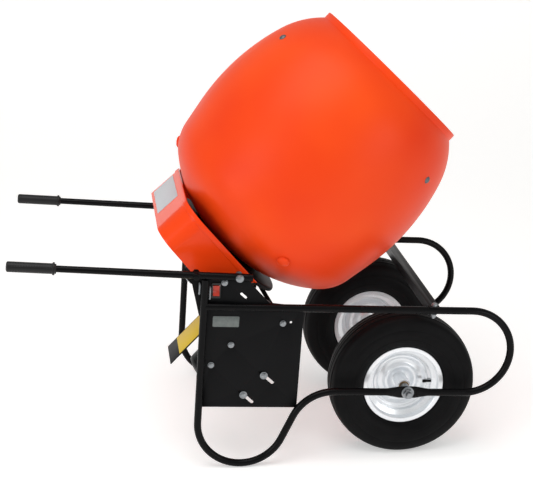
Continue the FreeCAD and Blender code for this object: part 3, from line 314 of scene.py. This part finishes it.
tyre_rubber = moulded_rubber("black_tyre_rubber", "#0a0a0b", 0.5, 700.0)
tyre_r = 203.2 * MM
section_half = 57 * MM
bead_r = 103 * MM
tread_steps = 144


def tyre_profile():
    """Outer section of the tyre as (across, out) pairs, from one bead over the crown to the other."""
    wall = [(0.63, 0.0), (0.66, 0.11), (0.85, 0.17), (0.955, 0.30), (0.985, 0.36), (0.972, 0.375),
            (0.998, 0.42), (1.0, 0.54), (0.985, 0.62), (0.965, 0.635), (0.972, 0.66), (0.93, 0.76),
            (0.86, 0.855), (0.80, 0.905)]
    crown = [(0.74, 0.935), (0.50, 0.975), (0.47, 0.94), (0.41, 0.945), (0.38, 0.985),
             (0.17, 0.998), (0.15, 0.955), (0.09, 0.957), (0.07, 1.0)]
    one_side = wall + crown
    return one_side + [(-across, out) for across, out in one_side[::-1]]


def make_tyre(side):
    centre = wheel_centre(side)
    shape = bmesh.new()
    rise = tyre_r - bead_r
    inside = [(-0.50, 0.02), (-0.80, 0.35), (-0.82, 0.58), (-0.55, 0.86), (0.55, 0.86), (0.82, 0.58),
              (0.80, 0.35), (0.50, 0.02)]
    verts = [shape.verts.new((centre.x, centre.y + across * section_half, centre.z + bead_r + out * rise))
             for across, out in tyre_profile() + inside]
    closed_loop(shape, verts)
    full_turn(shape, centre, (0, 1, 0), tread_steps)
    return keep_piece(shape, "tyre_%s_moulded" % side, tyre_rubber, "tyre_" + side, crease=40)


for side in ("right", "left"):
    make_tyre(side)

# ------------------------------------------------------------------ rims and hubs
# Each rim is pressed from sheet and seam welded to its disc, with a rolled flange, a drop centre and a
# stepped dish that stiffens the disc round the hub. Pale silver enamel, bright on the rolled edges.


def silver_enamel():
    """Pale aluminium-flake enamel: soft sheen, with a fine sparkle too small to count."""
    finish, tree, place = new_finish("silver_flake_enamel")
    flake = add(tree, "ShaderNodeTexNoise", {"Scale": 1500.0, "Detail": 1.0}, {"Vector": place})
    broad = add(tree, "ShaderNodeTexNoise", {"Scale": 11.0, "Detail": 3.0}, {"Vector": place})
    tone = add(tree, "ShaderNodeMix", {"A": linear("#e4e9ee"), "B": linear("#f8fafc")},
               {"Factor": broad.outputs["Fac"]}, data_type="RGBA")
    relief = add(tree, "ShaderNodeBump", {"Strength": 0.12, "Distance": 0.0003},
                 {"Height": flake.outputs["Fac"]})
    sheen = add(tree, "ShaderNodeMapRange", {"To Min": 0.18, "To Max": 0.32},
                {"Value": flake.outputs["Fac"]})
    close_finish(tree, {"Metallic": 0.45, "Coat Weight": 0.2, "Coat Roughness": 0.08},
                 {"Base Color": tone.outputs["Result"], "Roughness": sheen.outputs["Result"],
                  "Normal": relief.outputs["Normal"]})
    return finish


rim_enamel = silver_enamel()
rim_sheet = 2.8       # millimetres, as its section is drawn
rim_steps = 96


def make_rim(side):
    """Rim and disc of one wheel, turned from one section of the pressed sheet."""
    centre = wheel_centre(side)
    out = -1 if side == "right" else 1
    barrel = [(40, 111), (39, 112), (37, 111.2), (36, 108), (36, 102), (24, 100.5), (18, 88), (-18, 88),
              (-24, 100.5), (-36, 102), (-36, 108), (-37, 111.2), (-39, 112), (-40, 111), (-40, 101),
              (-38.5, 99.5), (-25, 98), (-19, 85.5), (17, 85.5), (23, 98), (38.5, 99.5), (40, 101)]
    dish = [(2, 86), (2, 79), (1, 77.5), (4.5, 75), (5, 71), (3, 68.5), (-3, 65), (-5.5, 62), (-5.5, 52),
            (-4, 49), (1.5, 46), (3, 43), (2, 38), (-6, 31), (-9, 27), (-10, 22), (-10, 19)]
    shape = bmesh.new()
    for section in (barrel, dish + [(z + rim_sheet, r) for z, r in dish[::-1]]):
        verts = [shape.verts.new((centre.x, centre.y + out * z * MM, centre.z + r * MM)) for z, r in section]
        closed_loop(shape, verts)
    full_turn(shape, centre, (0, 1, 0), rim_steps)
    return keep_piece(shape, "rim_%s_pressed" % side, rim_enamel, "rim_" + side, crease=35)


bronze = plated_steel("sintered_bronze", "#86673c", "#a98a58", 0.45, 600.0)
valve_rubber = moulded_rubber("valve_rubber", "#0b0b0b", 0.5, 900.0)
for side in ("right", "left"):
    make_rim(side)
    broken_edges("hub_" + side, rim_enamel, 1.2 * MM, turns=3, sharp=50)
    broken_edges("wheel_bushes_" + side, bronze, 0.5 * MM, sharp=50)
    broken_edges("valve_" + side, valve_rubber, 0.5 * MM, sharp=50)

# ------------------------------------------------------------------ drum carrier and spindle housing
# A folded channel is welded across between the side plates, square to the spindle, and a cast housing
# with two bearings is bolted through it. Enamelled with the frame, except for the bearings.
cast_enamel = enamel("painted_casting", "#0e0f10", 0.5, 0.9, "#151617")
broken_edges("drum_carrier", plate_enamel, 0.8 * MM)
broken_edges("bearing_housing", cast_enamel, 1.5 * MM, turns=3, sharp=50)
broken_edges("housing_bolts", black_enamel, 0.3 * MM, sharp=50)
ground_steel = plated_steel("ground_bearing_steel", "#a3a6aa", "#cfd1d4", 0.2, 1200.0)
broken_edges("spindle_bearings", ground_steel, 0.5 * MM, sharp=50)

# ------------------------------------------------------------------ gear motor
# A tubular motor and its cast gear case hang from a foot that is clamped in two slots of the right
# plate. Dark enamel on the shell, a moulded fan cover behind and a capacitor box on its side.
motor_enamel = enamel("dark_motor_enamel", "#0c0d0e", 0.4, 0.5, "#131416")


def black_moulding(name, colour, rough):
    """Glass-filled moulding: dull black with a fine spark-eroded grain."""
    finish, tree, place = new_finish(name)
    grain = add(tree, "ShaderNodeTexVoronoi", {"Scale": 1100.0}, {"Vector": place})
    broad = add(tree, "ShaderNodeTexNoise", {"Scale": 30.0, "Detail": 3.0}, {"Vector": place})
    tone = add(tree, "ShaderNodeMix", {"A": linear(colour), "B": linear("#161617")},
               {"Factor": broad.outputs["Fac"]}, data_type="RGBA")
    relief = add(tree, "ShaderNodeBump", {"Strength": 0.25, "Distance": 0.0003},
                 {"Height": grain.outputs["Distance"]})
    sheen = add(tree, "ShaderNodeMapRange", {"To Min": rough - 0.05, "To Max": rough + 0.1},
                {"Value": broad.outputs["Fac"]})
    close_finish(tree, {"IOR": 1.5}, {"Base Color": tone.outputs["Result"],
                                      "Roughness": sheen.outputs["Result"],
                                      "Normal": relief.outputs["Normal"]})
    return finish


motor_moulding = black_moulding("black_nylon_moulding", "#0d0d0e", 0.5)
broken_edges("motor_shell", motor_enamel, 0.6 * MM, sharp=50)
broken_edges("motor_end_cover", motor_moulding, 0.5 * MM, sharp=50)
broken_edges("gearhead", cast_enamel, 1.2 * MM, turns=3, sharp=50)
broken_edges("motor_foot", plate_enamel, 0.8 * MM, sharp=50)
broken_edges("capacitor_box", motor_moulding, 1.5 * MM, turns=3, sharp=50)
broken_edges("motor_bolts", zinc_plate, 0.4 * MM, sharp=50)
broken_edges("output_bush", bronze, 0.4 * MM, sharp=50)
broken_edges("output_shaft", ground_steel, 0.6 * MM, sharp=50)

# ------------------------------------------------------------------ pulleys and belt
# The belt runs from the motor's small pulley round the cast one behind the drum, which is keyed to the
# spindle. Belt of woven-faced rubber; pulleys cast and painted dark.
broken_edges("motor_pulley", cast_enamel, 0.5 * MM, sharp=50)
broken_edges("drum_pulley", cast_enamel, 1.0 * MM, sharp=50)
broken_edges("pulley_key", ground_steel, 0.3 * MM, sharp=50)
belt_rubber = moulded_rubber("woven_faced_belt_rubber", "#0d0d0e", 0.7, 1600.0)
broken_edges("drive_belt", belt_rubber, 0.5 * MM, sharp=50)

# ------------------------------------------------------------------ spindle and support pan
# The spindle's flange and six bolts clamp the drum to a pressed steel pan with a rolled edge, which
# stiffens the drum's base. The pan is enamelled black; the spindle is ground steel.
broken_edges("spindle", ground_steel, 0.6 * MM, sharp=50)
broken_edges("spindle_nut", black_enamel, 0.8 * MM, sharp=50)
broken_edges("pan_bolts", black_enamel, 0.4 * MM, sharp=50)

spin_joint = next(joint for joint in frame["joints"] if joint["name"] == "drum_spin")
axis = Vector(spin_joint["axis"]).normalized()
axis_foot = Vector(spin_joint["pos_m"])
up = Vector((-axis.z, 0, axis.x))
on_axis = Matrix((up, axis.cross(up), axis)).transposed().to_4x4()


def reach_along_axis(node_name):
    """Lowest and highest place of a node along the drum's axis, from the joint's own point."""
    reach = [(v.co - axis_foot).dot(axis) for v in frame["nodes"][node_name].data.vertices]
    return min(reach), max(reach)


drum_low = reach_along_axis("drum_shell")[0]
pan_low, pan_high = reach_along_axis("support_pan")


def turn_on_axis(shape, foot, steps):
    """Turns a profile drawn in XZ, with Z along the axis from foot, into a body on the drum's axis."""
    full_turn(shape, (0, 0, 0), (0, 0, 1), steps)
    bmesh.ops.transform(shape, matrix=Matrix.Translation(axis_foot + axis * foot) @ on_axis,
                        verts=shape.verts)


def arc(shape, start, centre, turn, steps):
    """Swings a vertex about a centre in the XZ plane and gives the last vertex of the arc."""
    swung = bmesh.ops.spin(shape, geom=[start], cent=centre, axis=(0, 1, 0), angle=turn, steps=steps)
    return swung["geom_last"][0]


def trace(shape, start, bends):
    """Edge chain in the XZ plane from start: each bend is a straight move or a turn about a point."""
    last = shape.verts.new(start)
    for kind, *facts in bends:
        if kind == "to":
            reached = shape.verts.new(facts[0])
            shape.edges.new((last, reached))
            last = reached
        else:
            last = arc(shape, last, *facts)
    return last


pan_r = 184 * MM
pan_bend = 8 * MM
pan_sheet = 3.5 * MM
pan_bore = 15.25 * MM
pan_deep = pan_high - pan_low
pan_shape = bmesh.new()
pan_end = trace(pan_shape, (pan_bore, 0, pan_deep), [
    ("to", (pan_r - pan_bend, 0, pan_deep)),
    ("turn", (pan_r - pan_bend, 0, pan_deep - pan_bend), math.radians(90), 8),
    ("to", (pan_r, 0, pan_sheet)),
    ("turn", (pan_r - pan_sheet / 2, 0, pan_sheet), math.radians(180), 8),
    ("to", (pan_r - pan_sheet, 0, pan_deep - pan_bend)),
    ("turn", (pan_r - pan_bend, 0, pan_deep - pan_bend), math.radians(-90), 8),
    ("to", (pan_bore, 0, pan_deep - pan_sheet))])
pan_shape.verts.ensure_lookup_table()
pan_shape.edges.new((pan_end, pan_shape.verts[0]))
turn_on_axis(pan_shape, pan_low, 96)
keep_piece(pan_shape, "support_pan_pressed", plate_enamel, "support_pan", crease=40)

# ------------------------------------------------------------------ drum
# One rotation-moulded shell of orange polyethylene, 6 mm thick: a shallow dish behind, a full belly, a
# mouth turned in to a short collar. Satin, faintly mottled, slightly wavy where it cooled in the mould.


def orange_polyethylene(name, colour, deep, light, rough):
    """Coloured through and a little translucent, so shade stays warm; soft broad highlights."""
    finish, tree, place = new_finish(name)
    broad = add(tree, "ShaderNodeTexNoise", {"Scale": 3.2, "Detail": 2.0}, {"Vector": place})
    fine = add(tree, "ShaderNodeTexNoise", {"Scale": 260.0, "Detail": 4.0}, {"Vector": place})
    tone = add(tree, "ShaderNodeValToRGB", links={"Fac": broad.outputs["Fac"]})
    tone.color_ramp.elements[0].position = 0.3
    tone.color_ramp.elements[0].color = linear(deep)
    tone.color_ramp.elements[1].position = 0.7
    tone.color_ramp.elements[1].color = linear(light)
    tone.color_ramp.elements.new(0.5).color = linear(colour)
    wave = add(tree, "ShaderNodeBump", {"Strength": 0.1, "Distance": 0.006},
               {"Height": broad.outputs["Fac"]})
    relief = add(tree, "ShaderNodeBump", {"Strength": 0.12, "Distance": 0.0004},
                 {"Height": fine.outputs["Fac"], "Normal": wave.outputs["Normal"]})
    sheen = add(tree, "ShaderNodeMapRange", {"To Min": rough - 0.05, "To Max": rough + 0.08},
                {"Value": fine.outputs["Fac"]})
    close_finish(tree, {"Specular IOR Level": 0.16, "Subsurface Weight": 0.05, "Subsurface Scale": 0.01,
                        "Subsurface Radius": (1.0, 0.35, 0.15)},
                 {"Base Color": tone.outputs["Color"], "Roughness": sheen.outputs["Result"],
                  "Normal": relief.outputs["Normal"]})
    return finish


drum_plastic = orange_polyethylene("orange_polyethylene", "#e8430f", "#e23a0d", "#ee4c12", 0.4)
belly_r = 336.7 * MM
belly_arc_r = 624 * MM
mouth_arc_r = 243 * MM
shoulder_arc_r = 131 * MM
dish_arc_r = 380 * MM
flank_len = 71.5 * MM
lip_wall = 8 * MM
lip_len = 19 * MM
drum_wall = 6 * MM
lip_round = 2.2 * MM
lip_step = 0.6 * MM
spindle_hole_r = 15.4 * MM
drum_steps = 180
belly_rear, belly_front = math.radians(9.7), math.radians(17.9)
shoulder_turn, dish_turn, mouth_turn = math.radians(39.1), math.radians(30.9), math.radians(29.3)


def wall_curve(shape, inset):
    """Traces one face of the drum's wall from the widest place: to its base, and to its neck."""
    belly_middle = Vector((belly_r - belly_arc_r, 0, 0))
    widest = Vector((belly_r - inset, 0, 0))
    start = shape.verts.new(widest)
    last = arc(shape, start, belly_middle, belly_rear, 8)
    slope = Vector((-math.sin(belly_rear), 0, -math.cos(belly_rear)))
    flank_end = shape.verts.new(last.co + slope * flank_len)
    shape.edges.new((last, flank_end))
    inward = Vector((-math.cos(belly_rear), 0, math.sin(belly_rear)))
    centre = flank_end.co + inward * (shoulder_arc_r - inset)
    last = arc(shape, flank_end, centre, shoulder_turn, 16)
    lean = belly_rear + shoulder_turn
    inward = Vector((-math.cos(lean), 0, math.sin(lean)))
    base_end = arc(shape, last, last.co + inward * (dish_arc_r - inset), dish_turn, 12)
    last = arc(shape, start, belly_middle, -belly_front, 14)
    inward = Vector((-math.cos(belly_front), 0, -math.sin(belly_front)))
    neck_end = arc(shape, last, last.co + inward * (mouth_arc_r - inset), -mouth_turn, 16)
    return base_end, neck_end


def make_drum():
    shape = bmesh.new()
    outer_base, outer_neck = wall_curve(shape, 0.0)
    inner_base, inner_neck = wall_curve(shape, drum_wall)
    lip_top = outer_neck.co.z + lip_len
    lip_r = outer_neck.co.x
    rim = [(lip_r + lip_step, outer_neck.co.z + 1.5 * MM), (lip_r + lip_step, lip_top - lip_round),
           (lip_r - 0.2 * MM, lip_top - 0.5 * MM), (lip_r - lip_round, lip_top),
           (lip_r - lip_wall + lip_round, lip_top), (lip_r - lip_wall + 0.5 * MM, lip_top - 0.6 * MM),
           (lip_r - lip_wall, lip_top - lip_round), (lip_r - lip_wall, outer_neck.co.z)]
    last = outer_neck
    for out, height in rim:
        nxt = shape.verts.new((out, 0, height))
        shape.edges.new((last, nxt))
        last = nxt
    shape.edges.new((last, inner_neck))
    seat = shape.verts.new((spindle_hole_r, 0, outer_base.co.z))
    shape.edges.new((outer_base, seat))
    inside_seat = shape.verts.new((spindle_hole_r, 0, outer_base.co.z + drum_wall))
    shape.edges.new((seat, inside_seat))
    inside_corner = shape.verts.new((inner_base.co.x, 0, outer_base.co.z + drum_wall))
    shape.edges.new((inside_seat, inside_corner))
    shape.edges.new((inside_corner, inner_base))
    turn_on_axis(shape, drum_low - outer_base.co.z, drum_steps)
    return keep_piece(shape, "drum_moulded", drum_plastic, "drum_shell", crease=38)


make_drum()

# ------------------------------------------------------------------ paddles, their screws and caps
# Three skewed blades lift the mix. Each is held by a screw near the mouth and one low down, whose
# head is under a moulded cap. The blades and caps are the drum's own plastic.
# The blades take a darker, rougher copy of the drum's orange; the caps keep the drum's own.
paddle_plastic = orange_polyethylene("darker_rougher_orange_polyethylene", "#cf3a16", "#bf3413", "#d74118", 0.48)
dull_zinc = plated_steel("dulled_zinc_plate", "#54575a", "#83868a", 0.45, 900.0)
for number in (1, 2, 3):
    broken_edges("paddle_%d" % number, paddle_plastic, 1.5 * MM, turns=3, sharp=40)
broken_edges("paddle_bolts", dull_zinc, 0.3 * MM, sharp=60)
broken_edges("drum_caps", drum_plastic, 0.5 * MM, sharp=60)

# ------------------------------------------------------------------ hood over the drive
# A vacuum-formed cover, redder and glossier than the drum, open below and towards the pan, with a
# raised lip round its open edge. A blank pale label is stuck on its sloping top.


def glossy_cover():
    """ABS sheet, vacuum formed: hard gloss over the faint drawn grain of the sheet."""
    finish, tree, place = new_finish("red_orange_abs_sheet")
    broad = add(tree, "ShaderNodeTexNoise", {"Scale": 6.0, "Detail": 2.0}, {"Vector": place})
    fine = add(tree, "ShaderNodeTexNoise", {"Scale": 420.0, "Detail": 2.0}, {"Vector": place})
    tone = add(tree, "ShaderNodeMix", {"A": linear("#e63c0e"), "B": linear("#ee4611")},
               {"Factor": broad.outputs["Fac"]}, data_type="RGBA")
    wave = add(tree, "ShaderNodeBump", {"Strength": 0.08, "Distance": 0.004},
               {"Height": broad.outputs["Fac"]})
    relief = add(tree, "ShaderNodeBump", {"Strength": 0.06, "Distance": 0.0003},
                 {"Height": fine.outputs["Fac"], "Normal": wave.outputs["Normal"]})
    close_finish(tree, {"Roughness": 0.22, "Specular IOR Level": 0.2},
                 {"Base Color": tone.outputs["Result"], "Normal": relief.outputs["Normal"]})
    return finish


hood_plastic = glossy_cover()
broken_edges("drive_hood", hood_plastic, 1.6 * MM, turns=3, sharp=35)
broken_edges("hood_screws", black_enamel, 0.4 * MM, sharp=50)


def label_film(name, colour, second, rough):
    """Printed film: even colour with a barely visible grain and a satin laminate."""
    finish, tree, place = new_finish(name)
    fibre = add(tree, "ShaderNodeTexNoise", {"Scale": 800.0, "Detail": 2.0}, {"Vector": place})
    tone = add(tree, "ShaderNodeMix", {"A": linear(colour), "B": linear(second)},
               {"Factor": fibre.outputs["Fac"]}, data_type="RGBA")
    relief = add(tree, "ShaderNodeBump", {"Strength": 0.05, "Distance": 0.0002},
                 {"Height": fibre.outputs["Fac"]})
    close_finish(tree, {"Roughness": rough}, {"Base Color": tone.outputs["Result"],
                                              "Normal": relief.outputs["Normal"]})
    return finish


pale_film = label_film("pale_satin_film", "#b6b9be", "#c2c5c9", 0.4)
broken_edges("hood_label", pale_film, 0.15 * MM)

# ------------------------------------------------------------------ motor guard
# A folded sheet over the motor keeps spilled mix off it. Black enamel on 2 mm steel, with a blank
# yellow label on its upper face.
yellow_film = label_film("yellow_satin_film", "#c9a80a", "#d6b814", 0.5)
broken_edges("motor_guard", plate_enamel, 0.4 * MM)
broken_edges("guard_label", yellow_film, 0.15 * MM)

# ------------------------------------------------------------------ handles and grips
# Two tapered tubes bolted along the tops of the plates, zinc bolts in front and enamelled ones behind.
# Each ends in a push-on rubber grip with a collar and even rows of small dimples.
for side in ("right", "left"):
    dress("handle_" + side, black_enamel)
handle_bolts = broken_edges("handle_bolts", zinc_plate, 0.5 * MM, sharp=50)
handle_bolts.data.materials.append(black_enamel)
bolt_middle = sum(v.co.x for v in handle_bolts.data.vertices) / len(handle_bolts.data.vertices)
for face in handle_bolts.data.polygons:
    face.material_index = 1 if face.center.x < bolt_middle else 0
broken_edges("plate_bolts", zinc_plate, 0.4 * MM, sharp=50)


def dimpled_rubber():
    """Grip rubber: black, with even rows of small round sunk dimples, each coloured a lighter grey as a painted
    highlight.
    """
    finish, tree, place = new_finish("dimpled_grip_rubber")
    rows = add(tree, "ShaderNodeTexVoronoi", {"Scale": 150.0, "Randomness": 0.0}, {"Vector": place})
    dimple_relief_and_painted_highlight = add(tree, "ShaderNodeMapRange", {"From Min": 0.18, "From Max": 0.34},
               {"Value": rows.outputs["Distance"]})
    # Painted highlight: the inside of each dimple is coloured a lighter grey (#26272a) than the black rubber round
    # it.
    tone = add(tree, "ShaderNodeMix", {"A": linear("#26272a"), "B": linear("#0c0c0d")},
               {"Factor": dimple_relief_and_painted_highlight.outputs["Result"]}, data_type="RGBA")
    relief = add(tree, "ShaderNodeBump", {"Strength": 0.6, "Distance": 0.001},
                 {"Height": dimple_relief_and_painted_highlight.outputs["Result"]})
    close_finish(tree, {"Specular IOR Level": 0.3, "Roughness": 0.42},
                 {"Base Color": tone.outputs["Result"], "Normal": relief.outputs["Normal"]})
    return finish


grip_rubber = dimpled_rubber()
for side in ("right", "left"):
    broken_edges("grip_" + side, grip_rubber, 1.2 * MM, turns=3, sharp=40)

# ------------------------------------------------------------------ switch, wires and name plate
# A rocker switch sits in the right plate under the handle, with its two wires looped beside it, and a
# blank grey plate is riveted below it. Black box, red rocker.
red_plastic = label_film("red_polycarbonate", "#a5240f", "#b22c14", 0.3)
grey_sheath = label_film("grey_wire_sheath", "#7e8286", "#8a8e92", 0.45)
plain_plate = plated_steel("brushed_grey_plate", "#565c5b", "#7f8583", 0.4, 1500.0)
broken_edges("switch_box", motor_moulding, 0.8 * MM, turns=3, sharp=50)
broken_edges("switch_rocker", red_plastic, 0.6 * MM, turns=3, sharp=20)
dress("switch_leads", grey_sheath)
broken_edges("name_plate", plain_plate, 0.2 * MM, sharp=50)
